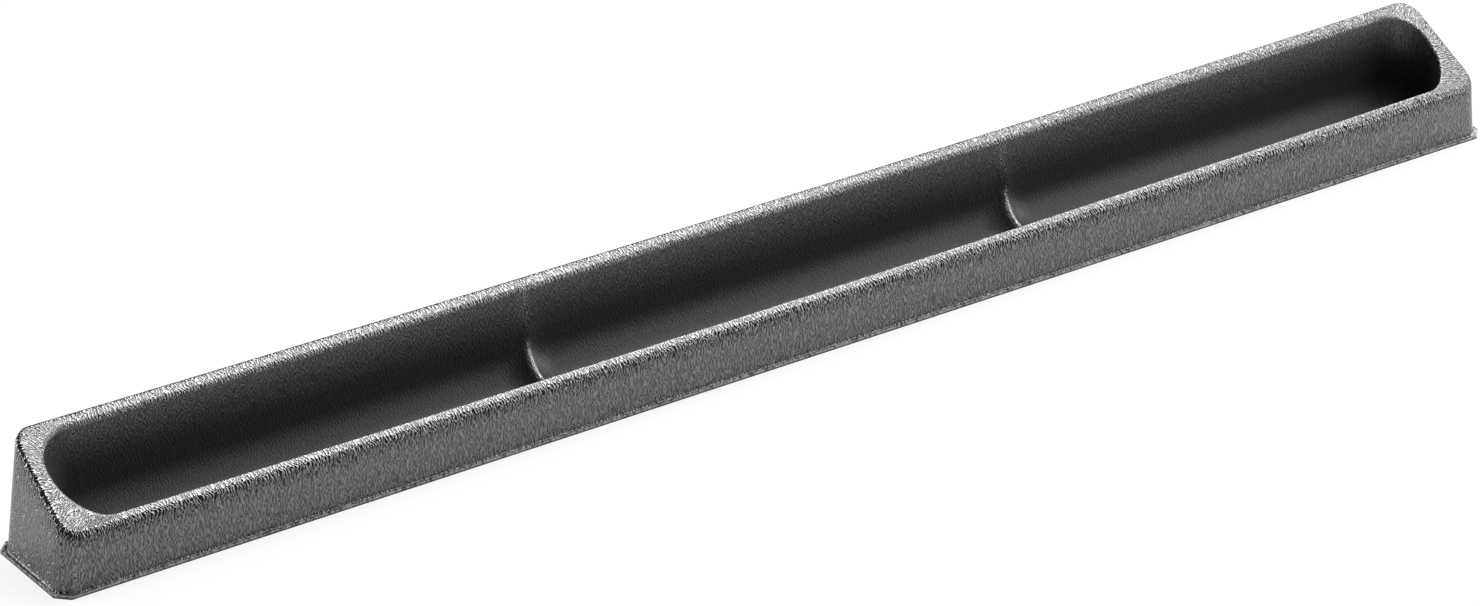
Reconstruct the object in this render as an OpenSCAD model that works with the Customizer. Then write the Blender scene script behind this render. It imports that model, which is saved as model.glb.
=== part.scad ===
// Tool drawer insert: a long wedge-shaped trough with two low ribs, formed from one plastic sheet.
// The sheet turns out into a trimmed foot flange, climbs the walls, folds over the sloping rim and
// dips into the round-bottomed trough. X runs along the length, Y from front to back, Z up.

/* [Foot] */
// Length over the trimmed foot flange
foot_l = 566; // [440:1:800]
// Depth over the trimmed foot flange, front to back
foot_w = 40; // [36:0.5:56]
// How far the foot flange stands out past the walls
lip_w = 1.2; // [0.8:0.1:4]
// Hollow radius where the walls turn out into the flange
lip_fillet = 0.5; // [0.3:0.1:0.8]
// Length of the cut across each corner of the flange, along each side
corner_clip = 4; // [1:0.2:6]

/* [Sheet] */
// Thickness of the formed sheet
sheet = 1; // [0.6:0.1:1.2]
// Lean of the front and back walls, in degrees
side_draft = 1; // [0.4:0.2:4]
// Lean of the end walls, in degrees
end_draft = 6.2; // [1:0.1:8]

/* [Rim] */
// Height of the front edge of the rim at the ends
front_h = 19.6; // [18:0.2:26]
// Height of the back edge of the rim at the ends
back_h = 40; // [34:0.5:46]
// How much lower the rim lies at the middle of the length than at the ends
rim_sag = 1.8; // [0:0.1:3]
// Corner radius of the walls, seen from above
corner_r = 6.8; // [5:0.2:10]
// Setback of the rounding along the outer edge of the rim
edge_round = 1.9; // [0.5:0.1:2.2]
// Width of the flat rim along the front, measured up its slope to the sharp edge of the mouth
front_land = 4.6; // [4:0.1:6]
// Width of the flat rim along the back, measured the same way
back_land = 5.2; // [4:0.1:6]
// Width of the flat rim at the two ends
end_land = 6.1; // [4:0.1:9]

/* [Trough] */
// Gap between the underside of the trough and the drawer bottom
floor_gap = 2; // [0.5:0.1:5]
// Length of the rounded stretch at each end of the mouth
mouth_end = 12.5; // [10:0.5:20]
// Lean of the trough's end walls, in degrees, which carries the mouth outwards where the rim is higher
end_lean = 13; // [2:1:20]
// Setback of the rounding along the edge of the mouth
mouth_round = 1.3; // [0.5:0.1:1.6]
// How far the long trough walls lean in from the mouth to the curved bottom
wall_lean = 0.8; // [0.2:0.1:1.5]
// Height of the curved bottom, from the floor to where the walls begin
bowl_h = 12.6; // [8:0.2:14]
// Width of the flat strip along the lowest line of the trough
floor_strip = 1; // [0.5:0.1:3]

/* [Ribs] */
// Number of ribs across the trough
rib_count = 2; // [0:1:4]
// Distance from one rib to the next
rib_pitch = 191; // [80:1:200]
// Height of the crest of a rib above the trough floor
rib_h = 5.3; // [3:0.1:6]
// Radius of the hollow flanks of a rib
rib_flank_r = 12; // [8:0.5:16]
// Radius of the crest of a rib
rib_crest_r = 0.8; // [0.4:0.1:1.2]
// How far a rib stands out of the trough walls, above the curved bottom
rib_ridge = 0.8; // [0:0.1:1]

/* [Hidden] */

// Facets: spans between ribs, flank, crest, corner, fillet, edge rounding and bowl
SPAN_STEPS = 4;
FLANK_STEPS = 5;
CREST_STEPS = 2;
ARC_POINTS = 8;
FILLET_STEPS = 2;
SHOW_ROUND_STEPS = 3;
UNDER_ROUND_STEPS = 2;
BOWL_STEPS = 5;
// The bowl's arc stops this many degrees from the wall, where the flat strip closes it
BOWL_ARC = 84;
// Least setback of a rounding on the underside
MIN_ROUND = 0.2;
// Wall kept between the mouth rounding and the bowl
MIN_WALL = 0.4;

half_l = foot_l / 2;
half_w = foot_w / 2;
side_tan = tan(side_draft);
end_tan = tan(end_draft);

// Rim plane
rim_front = -half_w + lip_w + side_tan * front_h;
rim_back = half_w - lip_w - side_tan * back_h;
rim_slope = (back_h - front_h) / (rim_back - rim_front);
slope_cos = cos(atan(rim_slope));
sheet_drop = sheet / slope_cos;
function rim_z(x, y) = front_h + rim_slope * (y - rim_front) - rim_sag * (1 - pow(x / half_l, 2));

// Mouth of the trough: its sharp outline in plan
mouth_front = rim_front + front_land * slope_cos;
mouth_back = rim_back - back_land * slope_cos;
mouth_half = half_l - lip_w - end_tan * (front_h + back_h) / 2 - end_land;
mouth_mid = (mouth_front + mouth_back) / 2;
mouth_ry = (mouth_back - mouth_front - floor_strip) / 2;
axis_half = mouth_half - mouth_end;
lean_tan = tan(end_lean);
floor_z = floor_gap + sheet;

// Ribs: hollow flanks of one radius that meet in a rounded crest
rib_x = [for (i = [0:1:rib_count - 1]) (i - (rib_count - 1) / 2) * rib_pitch];
flank_reach = sqrt(rib_h * (2 * (rib_flank_r + rib_crest_r) - rib_h));
crest_reach = flank_reach * rib_crest_r / (rib_flank_r + rib_crest_r);
flank_angle = asin((flank_reach - crest_reach) / rib_flank_r);
function from_rib(x) = rib_count > 0 ? min([for (c = rib_x) abs(x - c)]) : half_l;
function flank_z(u, depth) =
    u >= flank_reach ? -depth
    : rib_flank_r - sqrt(pow(rib_flank_r + depth, 2) - pow(flank_reach - u, 2));
function crest_z(u) = rib_h - rib_crest_r + sqrt(max(pow(rib_crest_r, 2) - u * u, 0));
// Height of the trough's lowest line over floor_z, on the show face or on the underside
function rib_rise(x, under) =
    let (u = from_rib(x))
    under ? flank_z(u, sheet) : u < crest_reach ? crest_z(u) : flank_z(u, 0);
function rib_share(x) = rib_rise(x, false) / rib_h;

// Stations along the straight sides: close together over each rib, wide between them
rib_steps = concat(
    [for (i = [0:FLANK_STEPS]) flank_reach - rib_flank_r * sin(flank_angle * i / FLANK_STEPS)],
    [for (i = [1:CREST_STEPS]) crest_reach * (1 - i / CREST_STEPS)]);
rib_profile = concat(
    [for (u = rib_steps) -u],
    [for (i = [len(rib_steps) - 2:-1:0]) rib_steps[i]]);
span_ends = concat([-axis_half], [for (c = rib_x) each [c - flank_reach, c + flank_reach]], [axis_half]);
function span(i) =
    let (a = span_ends[2 * i], b = span_ends[2 * i + 1])
    [for (k = [1:SPAN_STEPS - 1]) a + (b - a) * k / SPAN_STEPS];
stations = concat(
    [-axis_half],
    [for (i = [0:1:rib_count - 1]) each concat(span(i), [for (u = rib_profile) rib_x[i] + u])],
    span(rib_count),
    [axis_half]);
S = len(stations);
LOOP = 2 * S + 4 * ARC_POINTS;

// One closed outline, counter-clockwise from the front left: corner(side_x, side_y, i) gives the
// points of one corner, and side(x, side_y) a point of the front or back
function outline(side, corner) = concat(
    [for (i = [0:S - 1]) side(stations[i], -1)],
    [for (i = [0:ARC_POINTS - 1]) corner(1, -1, i)],
    [for (i = [0:ARC_POINTS - 1]) corner(1, 1, ARC_POINTS - 1 - i)],
    [for (i = [S - 1:-1:0]) side(stations[i], 1)],
    [for (i = [0:ARC_POINTS - 1]) corner(-1, 1, i)],
    [for (i = [0:ARC_POINTS - 1]) corner(-1, -1, ARC_POINTS - 1 - i)]);

// Flange edge, with clipped corners
lip_line = outline(
    function(x, sy) [x, sy * half_w],
    function(sx, sy, i)
        let (t = i / (ARC_POINTS - 1))
        [sx * (half_l - corner_clip * (1 - t)), sy * (half_w - corner_clip * t)]);

// Foot of the walls: place, outward direction, and the sides with which it leans inwards on its way
// up. A corner leans with both of its sides, so it keeps its radius
foot_line = outline(
    function(x, sy) [x, sy * (half_w - lip_w), 0, sy, 0, sy],
    function(sx, sy, i)
        let (a = 90 * i / (ARC_POINTS - 1))
        [sx * (half_l - lip_w - corner_r * (1 - sin(a))), sy * (half_w - lip_w - corner_r * (1 - cos(a))),
         sx * sin(a), sy * cos(a), sx, sy]);

// An outline in the trough: place, and the point of the floor strip that lies straight inwards.
// It reaches end past the strip and half to either side; skew moves its ends out towards the back
function trough_line(end, half, skew) = outline(
    function(x, sy) [x, mouth_mid + sy * (half + floor_strip / 2), x, mouth_mid + sy * floor_strip / 2],
    function(sx, sy, i)
        let (a = 90 * (i + 1) / ARC_POINTS, cx = sx * axis_half, cy = mouth_mid + sy * floor_strip / 2)
        [cx + sx * (end + skew * sy * cos(a)) * sin(a), cy + sy * half * cos(a), cx, cy]);
mouth_line = trough_line(mouth_end, mouth_ry, lean_tan * rim_slope * mouth_ry);
bowl_top = floor_z + bowl_h;
bowl_end = mouth_end - lean_tan * (rim_z(half_l, mouth_mid) - bowl_top);
bowl_line = trough_line(bowl_end, mouth_ry - wall_lean, 0);

// A point of the wall at height h, moved out by off
function wall_point(p, off, h) =
    [p[0] + p[2] * off - p[4] * end_tan * h, p[1] + p[3] * off - p[5] * side_tan * h, h];
function edge_height(p, depth, drop) =
    (rim_z(p[0], p[1] - p[3] * depth) - drop) / (1 + rim_slope * p[5] * side_tan);
function bend(a, b, c, t) = a * pow(1 - t, 2) + b * 2 * t * (1 - t) + c * t * t;
function fillet_ring(depth, angle) =
    [for (p = foot_line)
        wall_point(p, lip_fillet - (lip_fillet + depth) * sin(angle),
            sheet + lip_fillet - (lip_fillet + depth) * cos(angle))];

// Rounding from the wall over to the rim
function edge_ring(depth, drop, setback, t) =
    [for (p = foot_line)
        let (h = edge_height(p, depth, drop),
            low = wall_point(p, -depth, h - setback),
            sharp = wall_point(p, -depth, h),
            inner = [sharp[0] - p[2] * setback, sharp[1] - p[3] * setback],
            flat = [inner[0], inner[1], rim_z(inner[0], inner[1]) - drop])
        bend(low, sharp, flat, t)];

// A point of the trough: its distance from the floor strip is a share of the outline's, plus a shift
function trough_point(m, share, shift, z) =
    let (d = [m[0] - m[2], m[1] - m[3]], r = norm(d))
    [m[2] + d[0] * (share + shift / r), m[3] + d[1] * (share + shift / r), z];
function mouth_z(m, depth, drop) =
    let (p = trough_point(m, 1, depth, 0)) rim_z(p[0], p[1]) - drop;
function wall_end_z(m, depth, drop, setback) = mouth_z(m, depth, drop) - setback;
function mouth_ring(depth, drop, setback, t) =
    [for (m = mouth_line)
        let (outer = trough_point(m, 1, depth + setback, 0),
            flat = [outer[0], outer[1], rim_z(outer[0], outer[1]) - drop],
            sharp = trough_point(m, 1, depth, mouth_z(m, depth, drop)),
            low = trough_point(m, 1, depth, wall_end_z(m, depth, drop, setback)))
        bend(flat, sharp, low, t)];

// The curved bottom, from the walls to the floor strip
function bowl_ring(under, setback, angle) =
    let (depth = under ? sheet : 0, drop = under ? sheet_drop : 0)
    [for (j = [0:LOOP - 1])
        let (m = bowl_line[j],
            low = floor_z + rib_rise(m[0], under),
            top = min(low + bowl_h + depth, wall_end_z(mouth_line[j], depth, drop, setback) - MIN_WALL),
            inset = rib_ridge * rib_share(m[0]),
            p = trough_point(m, cos(angle), (depth - inset) * cos(angle), 0))
        [p[0], p[1], top - (top - low) * sin(angle)]];

under_edge = max(edge_round - sheet, MIN_ROUND);
under_mouth = max(mouth_round - sheet, MIN_ROUND);
show_rings = concat(
    [[for (p = lip_line) [p[0], p[1], sheet]]],
    [for (i = [0:FILLET_STEPS]) fillet_ring(0, 90 * i / FILLET_STEPS)],
    [for (i = [0:SHOW_ROUND_STEPS]) edge_ring(0, 0, edge_round, i / SHOW_ROUND_STEPS)],
    [for (i = [0:SHOW_ROUND_STEPS]) mouth_ring(0, 0, mouth_round, i / SHOW_ROUND_STEPS)],
    [for (i = [0:BOWL_STEPS]) bowl_ring(false, mouth_round, BOWL_ARC * i / BOWL_STEPS)]);
under_rings = concat(
    [[for (p = lip_line) [p[0], p[1], 0]]],
    [for (i = [0:FILLET_STEPS]) fillet_ring(sheet, 90 * i / FILLET_STEPS)],
    [for (i = [0:UNDER_ROUND_STEPS]) edge_ring(sheet, sheet_drop, under_edge, i / UNDER_ROUND_STEPS)],
    [for (i = [0:UNDER_ROUND_STEPS]) mouth_ring(sheet, sheet_drop, under_mouth, i / UNDER_ROUND_STEPS)],
    [for (i = [0:BOWL_STEPS]) bowl_ring(true, under_mouth, BOWL_ARC * i / BOWL_STEPS)]);

// Skin over a stack of rings, closed along the floor strip
function skin(rings, base) = let (last = base + (len(rings) - 1) * LOOP) concat(
    [for (r = [0:len(rings) - 2], j = [0:LOOP - 1])
        let (a = base + r * LOOP + j, b = base + r * LOOP + (j + 1) % LOOP)
        each [[a, b, b + LOOP], [a, b + LOOP, a + LOOP]]],
    [for (i = [0:S - 2])
        let (a = last + i, c = last + 2 * S + 2 * ARC_POINTS - 1 - i)
        each [[a, a + 1, c - 1], [a, c - 1, c]]],
    [[for (j = [S - 1:S + 2 * ARC_POINTS]) last + j]],
    [concat([for (j = [2 * S + 2 * ARC_POINTS - 1:LOOP - 1]) last + j], [last])]);
function flipped(faces) = [for (f = faces) [for (i = [len(f) - 1:-1:0]) f[i]]];
under_base = len(show_rings) * LOOP;
rim_faces = [for (j = [0:LOOP - 1])
    let (k = (j + 1) % LOOP) each [[under_base + j, under_base + k, k], [under_base + j, k, j]]];

module drawer_insert() {
    color([0.09, 0.09, 0.095])
    polyhedron(
        points = [for (ring = concat(show_rings, under_rings)) each ring],
        faces = flipped(concat(skin(show_rings, 0), rim_faces, flipped(skin(under_rings, under_base)))),
        convexity = 8);
}

drawer_insert();
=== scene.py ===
import math
import bpy
import bmesh
from mathutils import Matrix, Vector


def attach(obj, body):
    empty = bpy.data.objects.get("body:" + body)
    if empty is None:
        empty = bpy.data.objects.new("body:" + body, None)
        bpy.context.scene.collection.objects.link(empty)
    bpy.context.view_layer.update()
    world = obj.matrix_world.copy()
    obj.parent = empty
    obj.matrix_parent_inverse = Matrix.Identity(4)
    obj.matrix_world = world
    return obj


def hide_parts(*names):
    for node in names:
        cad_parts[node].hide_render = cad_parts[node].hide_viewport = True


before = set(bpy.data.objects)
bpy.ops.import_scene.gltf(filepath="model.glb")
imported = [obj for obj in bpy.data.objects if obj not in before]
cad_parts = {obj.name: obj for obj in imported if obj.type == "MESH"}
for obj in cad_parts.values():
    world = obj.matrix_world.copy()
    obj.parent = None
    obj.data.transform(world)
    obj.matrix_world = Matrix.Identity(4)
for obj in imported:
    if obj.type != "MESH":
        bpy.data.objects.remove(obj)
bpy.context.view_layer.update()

# Formed sheet: the whole insert is one black plastic sheet, 1 mm thick, drawn by vacuum over a mould and
# trimmed round its foot flange. It is lofted here as one stack of loops, from the trough floor over the rim
# to the flange edge and back along the underside. Nothing is fixed to it. Sizes are in millimetres.
MM = 0.001
SHEET = 1.0

# Foot: the trimmed flange, with clipped corners and a small hollow where the wall rises from it.
FOOT_HALF_L = 283.0
FOOT_HALF_W = 20.0
LIP_W = 1.2
LIP_FILLET = 0.5
CORNER_CLIP = 4.0

# Outer walls: lean for each millimetre of height on the long sides and on the ends, and corner radius.
SIDE_TAN = math.tan(math.radians(1.0))
END_TAN = math.tan(math.radians(6.2))
CORNER_R = 6.8

# Rim: heights of its long edges at the ends before they are rounded, its sag in the middle of the length,
# the rounding of the outer edge, and the widths of the flat lands in front of, behind and beside the mouth.
FRONT_H = 19.6
BACK_H = 40.0
RIM_SAG = 1.8
EDGE_ROUND = 1.9
FRONT_LAND = 4.6
BACK_LAND = 5.2
END_LAND = 6.1

# Trough: length and lean of its rounded ends, rounding of the mouth edge, how far the side walls lean in,
# height of its lowest line, height of the elliptical bottom, and width of the flat strip along it.
MOUTH_END = 12.5
LEAN_TAN = math.tan(math.radians(13.0))
MOUTH_ROUND = 1.3
WALL_LEAN = 0.8
FLOOR_Z = 3.0
BOWL_H = 12.6
FLOOR_STRIP = 1.0

# Ribs: places along the length, height over the floor, hollow flanks, rounded crest, and how far the
# crest stands out of the trough walls.
RIB_X = (-95.5, 95.5)
RIB_H = 5.3
FLANK_R = 12.0
CREST_R = 0.8
RIB_RIDGE = 0.8

# The least setback of a rounding underneath, and the least height of the trough's wall over its bottom.
LEAST_ROUND = 0.2
LEAST_WALL = 0.4

rim_front = -FOOT_HALF_W + LIP_W + SIDE_TAN * FRONT_H
rim_back = FOOT_HALF_W - LIP_W - SIDE_TAN * BACK_H
rim_slope = (BACK_H - FRONT_H) / (rim_back - rim_front)
slope_cos = math.cos(math.atan(rim_slope))
sheet_drop = SHEET / slope_cos
mouth_front = rim_front + FRONT_LAND * slope_cos
mouth_back = rim_back - BACK_LAND * slope_cos
mouth_mid = (mouth_front + mouth_back) / 2
mouth_half = (mouth_back - mouth_front - FLOOR_STRIP) / 2
axis_half = FOOT_HALF_L - LIP_W - END_TAN * (FRONT_H + BACK_H) / 2 - END_LAND - MOUTH_END
flank_reach = math.sqrt(RIB_H * (2 * (FLANK_R + CREST_R) - RIB_H))
crest_reach = flank_reach * CREST_R / (FLANK_R + CREST_R)
flank_turn = math.asin((flank_reach - crest_reach) / FLANK_R)


def rim_z(x, y):
    return FRONT_H + rim_slope * (y - rim_front) - RIM_SAG * (1 - (x / FOOT_HALF_L) ** 2)


def off_crest(x):
    return min(abs(x - rib) for rib in RIB_X)


def rib_rise(x, under):
    # Height of the trough's lowest line over the plain floor. Underneath, it runs a sheet's thickness lower.
    away = off_crest(x)
    depth = SHEET if under else 0.0
    if away >= flank_reach:
        return -depth
    if not under and away < crest_reach:
        return RIB_H - CREST_R + math.sqrt(max(CREST_R ** 2 - away ** 2, 0))
    return FLANK_R - math.sqrt((FLANK_R + depth) ** 2 - (flank_reach - away) ** 2)


bowl_end = MOUTH_END - LEAN_TAN * (rim_z(FOOT_HALF_L, mouth_mid) - FLOOR_Z - BOWL_H)
bowl_half = mouth_half - WALL_LEAN

# Places along the straight sides: even between the ribs, close together over each rib.
SPAN_STEPS = 22
FLANK_STEPS = 12
CREST_STEPS = 6
flank = [flank_reach - FLANK_R * math.sin(flank_turn * i / FLANK_STEPS) for i in range(FLANK_STEPS + 1)]
crest = [crest_reach * (1 - i / CREST_STEPS) for i in range(1, CREST_STEPS + 1)]
half_rib = flank + crest
bay_ends = [-axis_half] + [rib + side * flank_reach for rib in RIB_X for side in (-1, 1)] + [axis_half]
stations = []
for bay in range(len(RIB_X) + 1):
    start, end = bay_ends[2 * bay], bay_ends[2 * bay + 1]
    first = 0 if bay == 0 else 1
    last = SPAN_STEPS + 1 if bay == len(RIB_X) else SPAN_STEPS
    stations += [start + (end - start) * i / SPAN_STEPS for i in range(first, last)]
    if bay < len(RIB_X):
        stations += [RIB_X[bay] - u for u in half_rib]
        stations += [RIB_X[bay] + u for u in half_rib[-2::-1]]

# Each column of the loft has its place on the flange edge, at the foot of the wall with the wall's
# outward direction and the sides that it leans with, on the mouth, on the bowl, and the point of the
# floor strip that it runs down to. A corner leans with both of its sides, so it keeps its radius.
RUN_STEPS = 10
TURN_STEPS = 12
QUARTER_STEPS = 2 * RUN_STEPS + TURN_STEPS


def side_column(x, sy):
    strip = mouth_mid + sy * FLOOR_STRIP / 2
    return dict(lip=(x, sy * FOOT_HALF_W), foot=(x, sy * (FOOT_HALF_W - LIP_W)), out=(0, sy), lean=(0, sy),
                mouth=(x, strip + sy * mouth_half), bowl=(x, strip + sy * bowl_half), strip=(x, strip))


def corner_column(sx, sy, i):
    foot_x, foot_y = FOOT_HALF_L - LIP_W - CORNER_R, FOOT_HALF_W - LIP_W - CORNER_R
    lip_x, lip_y = FOOT_HALF_L - CORNER_CLIP, FOOT_HALF_W - CORNER_CLIP
    if i <= RUN_STEPS:
        t, turn = i / RUN_STEPS, 0.0
        lean = (t, 1)
        foot = (axis_half + (foot_x - axis_half) * t, foot_y + CORNER_R)
        lip = (axis_half + (lip_x - axis_half) * t, FOOT_HALF_W)
    elif i <= RUN_STEPS + TURN_STEPS:
        t = (i - RUN_STEPS) / TURN_STEPS
        turn = math.pi / 2 * t
        lean = (1, 1)
        foot = (foot_x + CORNER_R * math.sin(turn), foot_y + CORNER_R * math.cos(turn))
        lip = (lip_x + CORNER_CLIP * t, lip_y + CORNER_CLIP * (1 - t))
    else:
        t, turn = (i - RUN_STEPS - TURN_STEPS) / RUN_STEPS, math.pi / 2
        lean = (1, 1 - t)
        foot = (foot_x + CORNER_R, foot_y * (1 - t))
        lip = (FOOT_HALF_L, lip_y * (1 - t))
    angle = math.pi / 2 * i / QUARTER_STEPS
    reach = MOUTH_END + LEAN_TAN * rim_slope * mouth_half * sy * math.cos(angle)
    strip_x, strip_y = sx * axis_half, mouth_mid + sy * FLOOR_STRIP / 2
    return dict(lip=(sx * lip[0], sy * lip[1]), foot=(sx * foot[0], sy * foot[1]),
                out=(sx * math.sin(turn), sy * math.cos(turn)), lean=(sx * lean[0], sy * lean[1]),
                mouth=(strip_x + sx * reach * math.sin(angle), strip_y + sy * mouth_half * math.cos(angle)),
                bowl=(strip_x + sx * bowl_end * math.sin(angle), strip_y + sy * bowl_half * math.cos(angle)),
                strip=(strip_x, strip_y))


columns = [side_column(x, -1) for x in stations]
columns += [corner_column(1, -1, i) for i in range(1, QUARTER_STEPS)]
columns += [corner_column(1, 1, i) for i in range(QUARTER_STEPS, 0, -1)]
columns += [side_column(x, 1) for x in reversed(stations)]
columns += [corner_column(-1, 1, i) for i in range(1, QUARTER_STEPS)]
columns += [corner_column(-1, -1, i) for i in range(QUARTER_STEPS, 0, -1)]


def bend(a, b, c, t):
    # A rounded edge: from a to c, with b as the sharp edge that it rounds off.
    return a * (1 - t) ** 2 + b * 2 * t * (1 - t) + c * t * t


def wall_point(c, off, h):
    # On the outer wall at height h, moved outwards by off.
    return Vector((c["foot"][0] + c["out"][0] * off - c["lean"][0] * END_TAN * h,
                   c["foot"][1] + c["out"][1] * off - c["lean"][1] * SIDE_TAN * h, h))


def fillet_point(c, depth, angle):
    r = LIP_FILLET + depth
    return wall_point(c, LIP_FILLET - r * math.sin(angle), SHEET + LIP_FILLET - r * math.cos(angle))


def edge_point(c, depth, drop, setback, t):
    foot_x, foot_y = c["foot"]
    h = (rim_z(foot_x, foot_y - c["out"][1] * depth) - drop) / (1 + rim_slope * c["lean"][1] * SIDE_TAN)
    low, sharp = wall_point(c, -depth, h - setback), wall_point(c, -depth, h)
    x, y = sharp.x - c["out"][0] * setback, sharp.y - c["out"][1] * setback
    return bend(low, sharp, Vector((x, y, rim_z(x, y) - drop)), t)


def trough_place(c, line, share, shift):
    # A share of the way from the floor strip to the mouth's or the bowl's outline, and a shift beyond it.
    strip = Vector(c["strip"])
    away = Vector(c[line]) - strip
    return strip + away * (share + shift / away.length)


def mouth_point(c, depth, drop, setback, t):
    outer, sharp = trough_place(c, "mouth", 1, depth + setback), trough_place(c, "mouth", 1, depth)
    flat = Vector((outer.x, outer.y, rim_z(outer.x, outer.y) - drop))
    top = rim_z(sharp.x, sharp.y) - drop
    return bend(flat, Vector((sharp.x, sharp.y, top)), Vector((sharp.x, sharp.y, top - setback)), t)


def bowl_point(c, under, setback, angle):
    depth, drop = (SHEET, sheet_drop) if under else (0.0, 0.0)
    wall_end = mouth_point(c, depth, drop, setback, 1).z
    x = c["bowl"][0]
    low = FLOOR_Z + rib_rise(x, under)
    top = min(low + BOWL_H + depth, wall_end - LEAST_WALL)
    inset = RIB_RIDGE * rib_rise(x, False) / RIB_H
    p = trough_place(c, "bowl", math.cos(angle), (depth - inset) * math.cos(angle))
    return Vector((p.x, p.y, top - (top - low) * math.sin(angle)))


BOWL_STEPS = 16
MOUTH_STEPS = 7
EDGE_STEPS = 7
FILLET_STEPS = 4
FLAT_STEPS = 4


# A loop is kept as a rule that gives each column its point.
def spread(point, steps):
    return [(lambda c, t=i / steps: point(c, t)) for i in range(steps + 1)]


def straight(start, end, steps):
    return [(lambda c, t=i / steps: start(c).lerp(end(c), t)) for i in range(1, steps)]


def skin_loops(under):
    # The loops of one face of the sheet, from the floor strip to the flange edge.
    depth, drop = (SHEET, sheet_drop) if under else (0.0, 0.0)
    edge_set = max(EDGE_ROUND - depth, LEAST_ROUND)
    mouth_set = max(MOUTH_ROUND - depth, LEAST_ROUND)
    bowl = spread(lambda c, t: bowl_point(c, under, mouth_set, math.pi / 2 * (1 - t)), BOWL_STEPS)
    mouth = spread(lambda c, t: mouth_point(c, depth, drop, mouth_set, 1 - t), MOUTH_STEPS)
    edge = spread(lambda c, t: edge_point(c, depth, drop, edge_set, 1 - t), EDGE_STEPS)
    fillet = spread(lambda c, t: fillet_point(c, depth, math.pi / 2 * (1 - t)), FILLET_STEPS)
    lip = [lambda c: Vector((c["lip"][0], c["lip"][1], 0.0 if under else SHEET))]
    loops = bowl + straight(bowl[-1], mouth[0], FLAT_STEPS)
    loops += mouth + straight(mouth[-1], edge[0], FLAT_STEPS)
    loops += edge + straight(edge[-1], fillet[0], FLAT_STEPS)
    return loops + fillet + lip


show_loops = skin_loops(False)
under_loops = skin_loops(True)

# The loft: one loop is drawn out again and again, and each new loop is moved to its place.
insert_bm = bmesh.new()
way_layer = insert_bm.verts.layers.float_vector.new("sheet_way")
depth_layer = insert_bm.verts.layers.float.new("grain_depth")
turn_layer = insert_bm.verts.layers.float.new("grain_turn")
# The last layer holds each point's share of painted highlight on the ribs' crests.
crest_highlight_layer = insert_bm.verts.layers.float.new("painted_crest_highlight")
ring = bmesh.ops.create_circle(insert_bm, cap_ends=False, segments=len(columns), radius=1)["verts"]
ring.sort(key=lambda v: math.atan2(v.co.y, v.co.x))
rings = []
for place in show_loops + under_loops[::-1]:
    if rings:
        edges = [insert_bm.edges.get((ring[i - 1], ring[i])) for i in range(len(ring))]
        drawn_out = bmesh.ops.extrude_edge_only(insert_bm, edges=edges)["geom"]
        fresh = {part for part in drawn_out if isinstance(part, bmesh.types.BMVert)}
        ring = [next(e.other_vert(v) for e in v.link_edges if e.other_vert(v) in fresh) for v in ring]
    for v, c in zip(ring, columns):
        v.co = place(c) * MM
    rings.append(ring)

# The first loop of the mouth's rounding, the first and last of the rim edge's, and the flange edge.
mouth_at = BOWL_STEPS + FLAT_STEPS
edge_at = mouth_at + MOUTH_STEPS + FLAT_STEPS
wall_at = edge_at + EDGE_STEPS
lip_at = len(show_loops) - 1

# Grain: how deep the mould's grain came out, as a share of GRAIN_HEIGHT below. It is deepest round the
# outer rim edge, crisp on the outer walls, a little softer on the flat rim and the ribs' crests, and weakest
# in the bottom of the trough. It grows up the trough's walls, and is faint along the floor strip, where the
# strokes of both walls meet.
EDGE_GRAIN = 1.25
WALL_GRAIN = 0.9
RIM_GRAIN = 0.84
CREST_GRAIN = 0.85
BOTTOM_GRAIN = 0.16
GRAIN_GROWTH = 0.42
GROWTH_FROM_Z, GROWTH_TO_Z = 4.0, 30.0
STRIP_SHARE = 0.3
CREST_GRAIN_REACH = 2.4

# Painted highlight: the low part of each crest is painted paler, for the thin line of light along it, up to a
# height over the floor.
CREST_HIGHLIGHT_REACH = 1.3
CREST_HIGHLIGHT_FULL_Z, CREST_HIGHLIGHT_NONE_Z = 13.0, 19.0


def ramp(value, start, end):
    # 0 at the start, 1 at the end, straight between them and level outside.
    return min(max((value - start) / (end - start), 0), 1)


def grain_depth(p, k):
    # Loops are counted by k, from the floor strip out to the flange edge.
    if k > wall_at:
        return WALL_GRAIN
    if k > edge_at:
        return EDGE_GRAIN
    if k > mouth_at:
        return RIM_GRAIN
    on_wall = BOTTOM_GRAIN + GRAIN_GROWTH * ramp(p.z, GROWTH_FROM_Z, GROWTH_TO_Z)
    on_crest = CREST_GRAIN * ramp(off_crest(p.x), CREST_GRAIN_REACH, CREST_GRAIN_REACH / 2)
    return (STRIP_SHARE if k == 0 else 1) * max(on_wall, on_crest)


# Share of painted highlight: full on a crest's low part, and fading out up the trough walls.
def painted_crest_highlight(p, k):
    if k > BOWL_STEPS:
        return 0.0
    return ramp(off_crest(p.x), CREST_HIGHLIGHT_REACH, CREST_HIGHLIGHT_REACH / 2) * ramp(p.z, CREST_HIGHLIGHT_NONE_Z, CREST_HIGHLIGHT_FULL_Z)


# The grain's strokes are counted round the foot, a whole number of them, so they close without a seam.
GRAIN_PITCH = 1.22
foot_steps = [math.dist(columns[j - 1]["foot"], c["foot"]) for j, c in enumerate(columns)]
foot_way = [sum(foot_steps[1:j + 1]) for j in range(len(columns))]
foot_round = sum(foot_steps)
stroke_count = round(foot_round / GRAIN_PITCH)

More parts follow.
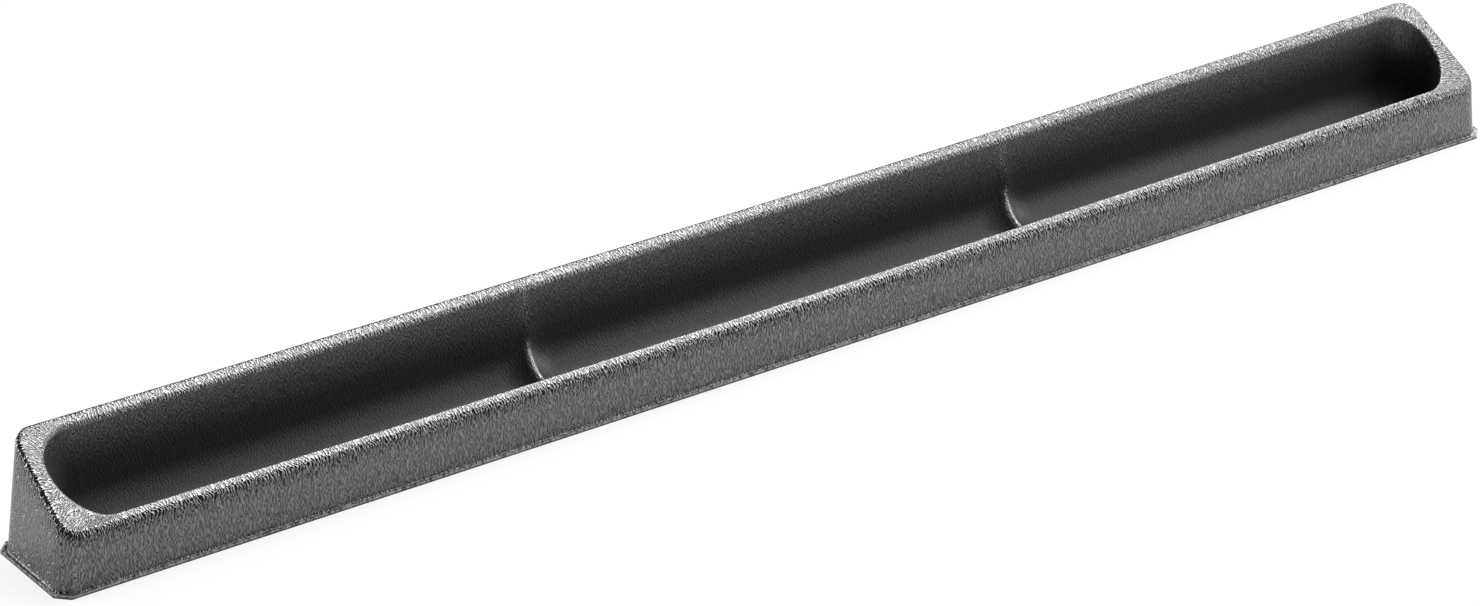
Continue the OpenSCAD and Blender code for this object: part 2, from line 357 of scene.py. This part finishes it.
# Every point keeps where its column stands on the foot and how far it lies from the flange edge across
# the sheet, because the grain was stretched along that way as the sheet was drawn.
for j, c in enumerate(columns):
    column = [ring[j] for ring in rings]
    for run in (column[lip_at:], column[lip_at::-1]):
        way = 0.0
        for before, v in zip(run[:1] + run, run):
            way += (v.co - before.co).length
            v[way_layer] = Vector((c["foot"][0] * MM, c["foot"][1] * MM, way))
            v[turn_layer] = stroke_count * foot_way[j] / foot_round
    for k, v in enumerate(column[:lip_at + 1]):
        v[depth_layer] = grain_depth(v.co / MM, k)
        v[crest_highlight_layer] = painted_crest_highlight(v.co / MM, k)

# The floor strip closes the trough between its two long sides, on the show face and underneath. At its
# ends the round of corner columns runs down to one point a side, where the points are welded, in metres.
WELD = 1e-6
back_start = len(stations) + 2 * QUARTER_STEPS - 1
for ring in (rings[0], rings[-1]):
    strip_sides = []
    for first in (0, back_start):
        side = ring[first:first + len(stations)]
        strip_sides += [insert_bm.edges.get(pair) for pair in zip(side, side[1:])]
    bmesh.ops.bridge_loops(insert_bm, edges=strip_sides)
bmesh.ops.remove_doubles(insert_bm, verts=insert_bm.verts, dist=WELD)
bmesh.ops.recalc_face_normals(insert_bm, faces=insert_bm.faces)

# The stroke count and the way across the sheet, in millimetres, become a UV map. The faces where the
# count closes go on counting. Only the floor strip joins counts that are far apart, so it counts its
# strokes along its length.
half_count = stroke_count / 2
far_counts = stroke_count / 20
turn_uv = insert_bm.loops.layers.uv.new("grain_turn_uv")
for f in insert_bm.faces:
    f.smooth = True
    turns = [v[turn_layer] for v in f.verts]
    apart = max(turns) - min(turns)
    closing = apart > half_count and abs(f.calc_center_median().x) > axis_half * MM
    on_strip = apart > far_counts and not closing
    for corner, turn in zip(f.loops, turns):
        if closing and turn < half_count:
            turn += stroke_count
        if on_strip:
            turn = corner.vert.co.x / MM / GRAIN_PITCH
        corner[turn_uv].uv = (turn, corner.vert[way_layer].z / MM)

# The flange is trimmed with a knife, so its edge has sharp corners, and the light breaks on them.
for k in (lip_at, lip_at + 1):
    for i in range(len(columns)):
        insert_bm.edges.get((rings[k][i - 1], rings[k][i])).smooth = False


def new_object(name, shape):
    mesh = bpy.data.meshes.new(name)
    shape.to_mesh(mesh)
    shape.free()
    made = bpy.data.objects.new(name, mesh)
    bpy.context.scene.collection.objects.link(made)
    return made


insert = new_object("drawer_insert_sheet", insert_bm)

# Black formed plastic: a satin black sheet with an embossed hair-cell grain on its show face. The grain
# is made of short wavy strokes, laid like bricks, with shaded grooves between them.
BLACK = (0.006, 0.006, 0.0064, 1)
HIGHLIGHT_PALE = (0.50, 0.50, 0.49, 1)
PLASTIC_IOR = 1.86
plastic = bpy.data.materials.new("black_formed_plastic")
plastic.use_nodes = True
sheet_tree = plastic.node_tree
sheet_tree.nodes.clear()


def node(tree, kind, **values):
    # A value is set on the input socket of that name, or else it is a setting of the node itself.
    made = tree.nodes.new(kind)
    for name, value in values.items():
        if name in made.inputs:
            made.inputs[name].default_value = value
        else:
            setattr(made, name, value)
    return made


def maths(tree, operation, *values, clamp=False):
    made = node(tree, "ShaderNodeMath", operation=operation, use_clamp=clamp)
    for socket, value in zip(made.inputs, values):
        if isinstance(value, (int, float)):
            socket.default_value = value
        else:
            tree.links.new(value, socket)
    return made.outputs[0]


def parts(tree, vector):
    made = node(tree, "ShaderNodeSeparateXYZ")
    tree.links.new(vector, made.inputs[0])
    return made.outputs


def noise(tree, place, scale, detail):
    made = node(tree, "ShaderNodeTexNoise", Scale=scale, Detail=detail)
    tree.links.new(place, made.inputs["Vector"])
    return made


def fade(tree, value, start, end):
    made = node(tree, "ShaderNodeMapRange", **{"From Min": start, "From Max": end})
    tree.links.new(value, made.inputs["Value"])
    return made.outputs[0]


# Where a point lies on the sheet: its way across it, its depth of grain, its share of painted highlight on the
# crests, and its count of strokes.
sheet_way = node(sheet_tree, "ShaderNodeAttribute", attribute_name="sheet_way").outputs["Vector"]
grain_at = node(sheet_tree, "ShaderNodeAttribute", attribute_name="grain_depth").outputs["Fac"]
crest_highlight_at = node(sheet_tree, "ShaderNodeAttribute", attribute_name="painted_crest_highlight").outputs["Fac"]
count = parts(sheet_tree, node(sheet_tree, "ShaderNodeUVMap", uv_map="grain_turn_uv").outputs[0])

# One wave counts the strokes round the foot, the other their length up the wall in millimetres, and the
# same soft noise bends both. The height of the grain is in metres.
GRAIN_HEIGHT = 0.00016
STROKE_LENGTH = 4.2
RIDGE_GAIN, RIDGE_MIDDLE = 0.72, 0.5
WANDER_STRETCH = (420.0, 420.0, 330.0)
WANDER_DETAIL = 0.8
WANDER_ROUND, WANDER_UP = 13.5, 15.0
stretch = node(sheet_tree, "ShaderNodeMapping", Scale=WANDER_STRETCH)
sheet_tree.links.new(sheet_way, stretch.inputs["Vector"])
wander_noise = noise(sheet_tree, stretch.outputs[0], 1.0, WANDER_DETAIL)
wander = parts(sheet_tree, wander_noise.outputs["Color"])
round_foot = maths(sheet_tree, "ADD", maths(sheet_tree, "MULTIPLY", count[0], 2 * math.pi),
                   maths(sheet_tree, "MULTIPLY", wander[0], WANDER_ROUND))
up_wall = maths(sheet_tree, "ADD", maths(sheet_tree, "MULTIPLY", count[1], 2 * math.pi / STROKE_LENGTH),
                maths(sheet_tree, "MULTIPLY", wander[1], WANDER_UP))
strokes = maths(sheet_tree, "MULTIPLY", maths(sheet_tree, "SINE", round_foot),
                maths(sheet_tree, "COSINE", up_wall))
ridge = maths(sheet_tree, "MULTIPLY_ADD", strokes, RIDGE_GAIN, RIDGE_MIDDLE, clamp=True)
bump = node(sheet_tree, "ShaderNodeBump", Strength=1.0, Distance=GRAIN_HEIGHT)
sheet_tree.links.new(maths(sheet_tree, "MULTIPLY", ridge, grain_at), bump.inputs["Height"])

# The grooves of the grain lie in shade, so less of the gloss leaves them. Where the grain was drawn out
# flat the sheet is duller and rougher too, so the bottom of the trough has less gloss.
GROOVE_SHADE = 0.74
GLOSS_GAIN, GLOSS_START, LEAST_GLOSS = 1.15, 0.08, 0.264
DULL_ROUGHNESS, CRISP_GAIN = 0.62, 0.38
groove = maths(sheet_tree, "MULTIPLY", maths(sheet_tree, "SUBTRACT", 1.0, ridge), grain_at)
shaded = maths(sheet_tree, "MULTIPLY", groove, GROOVE_SHADE)
open_share = maths(sheet_tree, "SUBTRACT", 1.0, shaded, clamp=True)
gloss_rise = maths(sheet_tree, "ADD", maths(sheet_tree, "MULTIPLY", grain_at, GLOSS_GAIN), GLOSS_START)
gloss = maths(sheet_tree, "MAXIMUM", gloss_rise, LEAST_GLOSS, clamp=True)
smoother = maths(sheet_tree, "MULTIPLY", maths(sheet_tree, "MINIMUM", grain_at, 1.0), CRISP_GAIN)
roughness = maths(sheet_tree, "SUBTRACT", DULL_ROUGHNESS, smoother)

# Painted highlight: the trimmed edge of the flange is painted pale in specks, for the bright strip of light
# along it, and the crests take the same specks. The pale fades out between two distances from the edge, in
# metres.
EDGE_HIGHLIGHT_NONE_AT, EDGE_HIGHLIGHT_FULL_AT = 0.0010, 0.0004
SPECK_SCALE, SPECK_DETAIL = 700.0, 2.0
SPECK_NONE, SPECK_FULL = 0.36, 0.56
HIGHLIGHT_SPECKS, HIGHLIGHT_EVEN = 0.6, 0.4
specks = noise(sheet_tree, sheet_way, SPECK_SCALE, SPECK_DETAIL)
speck = fade(sheet_tree, specks.outputs[0], SPECK_NONE, SPECK_FULL)
edge_highlight_at = fade(sheet_tree, parts(sheet_tree, sheet_way)[2], EDGE_HIGHLIGHT_NONE_AT, EDGE_HIGHLIGHT_FULL_AT)
edge_highlight = maths(sheet_tree, "MULTIPLY", maths(sheet_tree, "MULTIPLY", edge_highlight_at, grain_at), speck)
# The crests' painted highlight is partly even and partly in specks. Both painted highlights take the pale
# colour over the black.
crest_highlight_share = maths(sheet_tree, "ADD", maths(sheet_tree, "MULTIPLY", speck, HIGHLIGHT_SPECKS), HIGHLIGHT_EVEN)
painted_highlight = maths(sheet_tree, "MAXIMUM", edge_highlight, maths(sheet_tree, "MULTIPLY", crest_highlight_at, crest_highlight_share))
black_and_highlight = node(sheet_tree, "ShaderNodeMix", data_type="RGBA")
black_socket, highlight_socket = [socket for socket in black_and_highlight.inputs if socket.type == "RGBA"]
black_socket.default_value = BLACK
highlight_socket.default_value = HIGHLIGHT_PALE
sheet_tree.links.new(painted_highlight, black_and_highlight.inputs[0])

surface = node(sheet_tree, "ShaderNodeBsdfPrincipled", IOR=PLASTIC_IOR)
surface_out = node(sheet_tree, "ShaderNodeOutputMaterial")
highlighted_black = next(socket for socket in black_and_highlight.outputs if socket.type == "RGBA")
sheet_tree.links.new(highlighted_black, surface.inputs["Base Color"])
sheet_tree.links.new(roughness, surface.inputs["Roughness"])
sheet_tree.links.new(maths(sheet_tree, "MULTIPLY", open_share, gloss), surface.inputs["Specular IOR Level"])
sheet_tree.links.new(bump.outputs[0], surface.inputs["Normal"])
sheet_tree.links.new(surface.outputs[0], surface_out.inputs["Surface"])
insert.data.materials.append(plastic)

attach(insert, "root")
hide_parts("drawer_insert")

# Floor: a plain sheet of white paper that the insert lies on. It takes the insert's shadow. To the camera
# it is mostly plain white, and to the gloss on the insert partly, whatever light falls on it.
FLOOR_HALF = 6.0
PAPER = (0.9, 0.9, 0.9, 1)
PAPER_ROUGHNESS = 0.9
PAPER_TO_CAMERA, PAPER_TO_GLOSS = 0.85, 0.38
floor_bm = bmesh.new()
bmesh.ops.create_grid(floor_bm, x_segments=1, y_segments=1, size=FLOOR_HALF)
floor = new_object("studio_floor", floor_bm)
paper = bpy.data.materials.new("white_floor")
paper.use_nodes = True
paper_tree = paper.node_tree
paper_surface = paper_tree.nodes["Principled BSDF"]
paper_surface.inputs["Base Color"].default_value = PAPER
paper_surface.inputs["Roughness"].default_value = PAPER_ROUGHNESS
paper_white = node(paper_tree, "ShaderNodeEmission", Strength=1.0)


def white_share(tree, to_camera, to_gloss):
    # How much of the plain white a ray meets: the camera's own rays, and those sent on by gloss or glass.
    ray = node(tree, "ShaderNodeLightPath").outputs
    sent_on = maths(tree, "MAXIMUM", ray["Is Glossy Ray"], ray["Is Transmission Ray"])
    gloss_share = maths(tree, "MULTIPLY", sent_on, to_gloss)
    return maths(tree, "MULTIPLY_ADD", ray["Is Camera Ray"], to_camera, gloss_share)


paper_mix = node(paper_tree, "ShaderNodeMixShader")
paper_tree.links.new(white_share(paper_tree, PAPER_TO_CAMERA, PAPER_TO_GLOSS), paper_mix.inputs[0])
paper_tree.links.new(paper_surface.outputs[0], paper_mix.inputs[1])
paper_tree.links.new(paper_white.outputs[0], paper_mix.inputs[2])
paper_tree.links.new(paper_mix.outputs[0], paper_tree.nodes["Material Output"].inputs["Surface"])
floor.data.materials.append(paper)

# Studio light: the world is white to the camera, pale in the gloss and dim to everything else, and soft
# boxes do the rest.
WHITE = (1, 1, 1, 1)
ROOM_STRENGTH = 0.02
WORLD_TO_CAMERA, WORLD_TO_GLOSS = 1.0, 0.07
studio = bpy.data.worlds.new("studio")
bpy.context.scene.world = studio
studio.use_nodes = True
studio_tree = studio.node_tree
studio_tree.nodes.clear()
seen = node(studio_tree, "ShaderNodeBackground", Color=WHITE)
room = node(studio_tree, "ShaderNodeBackground", Color=WHITE, Strength=ROOM_STRENGTH)
studio_mix = node(studio_tree, "ShaderNodeMixShader")
studio_out = node(studio_tree, "ShaderNodeOutputWorld")
studio_tree.links.new(white_share(studio_tree, WORLD_TO_CAMERA, WORLD_TO_GLOSS), studio_mix.inputs[0])
studio_tree.links.new(room.outputs[0], studio_mix.inputs[1])
studio_tree.links.new(seen.outputs[0], studio_mix.inputs[2])
studio_tree.links.new(studio_mix.outputs[0], studio_out.inputs["Surface"])

# Each square box faces the insert. Its row gives its bearing, turned from the insert's right end towards
# its back, and its height, both in degrees as seen from the insert, its side in metres and its power in watts.
BOX_DISTANCE = 2.0
SOFT_BOXES = (
    ("right_low_box", 0, 8, 1.0, 16.0),
    ("right_top_box", 0, 64, 1.0, 21.0),
    ("back_right_box", 30, 26, 1.0, 18.5),
    ("back_right_top_box", 30, 62, 1.0, 18.0),
    ("back_top_box", 60, 62, 1.0, 11.0),
    ("left_back_low_box", 130, 16, 1.1, 34.0),
    ("front_box", 305, 26, 1.0, 4.0),
    ("front_right_box", 332, 26, 1.0, 11.5),
)
for name, bearing, height, side, power in SOFT_BOXES:
    a, h = math.radians(bearing), math.radians(height)
    lamp = bpy.data.lights.new(name, "AREA")
    lamp.shape = "RECTANGLE"
    lamp.size = side
    lamp.size_y = side
    lamp.energy = power
    box = bpy.data.objects.new(name, lamp)
    box.location = (BOX_DISTANCE * math.cos(a) * math.cos(h), BOX_DISTANCE * math.sin(a) * math.cos(h),
                    BOX_DISTANCE * math.sin(h))
    box.rotation_mode = "QUATERNION"
    box.rotation_quaternion = (Vector((0, 0, 0)) - box.location).to_track_quat("-Z", "Y")
    bpy.context.scene.collection.objects.link(box)

# Camera: a long lens from the front left and above, as in the photograph. Its place, its turn and its
# focal length in pixels of the photograph were found by fitting the insert's edges to the photograph.
PHOTO_WIDTH = 1480
FOCAL_PIXELS = 5828.6
SENSOR_WIDTH = 36.0
CAMERA_PLACE = (-0.99735, -1.33686, 0.88246)
CAMERA_HEADING = -36.1356
CAMERA_DIP = 27.6554
CAMERA_ROLL = 0.974
NEAREST, FARTHEST = 0.05, 50.0
lens = bpy.data.cameras.new("photo_camera")
lens.sensor_width = SENSOR_WIDTH
lens.lens = SENSOR_WIDTH * FOCAL_PIXELS / PHOTO_WIDTH
lens.clip_start = NEAREST
lens.clip_end = FARTHEST
camera = bpy.data.objects.new("photo_camera", lens)
camera.location = CAMERA_PLACE
heading = Matrix.Rotation(math.radians(CAMERA_HEADING), 3, "Z")
tilt = Matrix.Rotation(math.radians(90 - CAMERA_DIP), 3, "X")
roll = Matrix.Rotation(math.radians(CAMERA_ROLL), 3, "Z")
camera.rotation_euler = (heading @ tilt @ roll).to_euler()
bpy.context.scene.collection.objects.link(camera)
bpy.context.scene.camera = camera
bpy.context.scene.view_settings.view_transform = "Standard"
